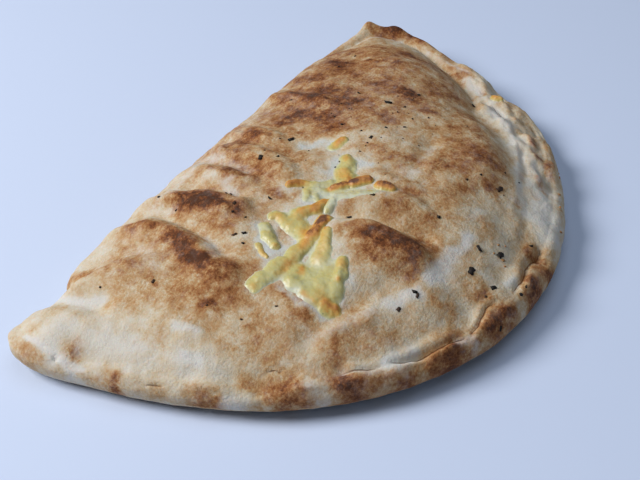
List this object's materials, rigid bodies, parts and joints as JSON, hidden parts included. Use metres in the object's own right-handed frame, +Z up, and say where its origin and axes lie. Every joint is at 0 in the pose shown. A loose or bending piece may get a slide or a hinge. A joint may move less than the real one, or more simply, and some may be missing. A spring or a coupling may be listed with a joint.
{
  "type": "calzone",
  "caption": "Baked calzone: a half-moon of folded, puffed dough with a rolled and sealed lip, melted cheese shreds and dried herb flakes on top.",
  "frame": {"origin": "Middle of the footprint, on the surface that the calzone lies on.", "axes": "+Z up; +X along the straight fold, from the blunt beak towards the raised ear; the fold faces +Y and the curved, sealed belly faces -Y."},
  "size_m": [0.3084, 0.1872, 0.046],
  "materials": {
    "baked_crust": "Matte baked dough, golden tan with brown blisters and ridges, pale floury creases and black herb flakes.",
    "melted_cheese": "Soft-gloss melted cheese, pale yellow with golden and orange-brown toasted ends."
  },
  "bodies": {
    "root": {"crust": "baked_crust", "cheese_long_shred": "melted_cheese", "cheese_browned_shred": "melted_cheese", "cheese_nugget": "melted_cheese", "cheese_lone_shred": "melted_cheese", "cheese_top_nub": "melted_cheese", "cheese_rim_bit": "melted_cheese", "cheese_golden_shred": "melted_cheese", "cheese_mound": "melted_cheese", "cheese_arm_shred": "melted_cheese", "cheese_left_shred": "melted_cheese", "cheese_right_shred": "melted_cheese", "cheese_golden_end": "melted_cheese", "cheese_middle_shred": "melted_cheese", "cheese_melted_pool": "melted_cheese", "cheese_column": "melted_cheese", "cheese_web": "melted_cheese", "cheese_pale_lace": "melted_cheese", "cheese_pale_base": "melted_cheese", "cheese_pale_strip": "melted_cheese", "cheese_small_shred": "melted_cheese"}
  },
  "joints": []
}
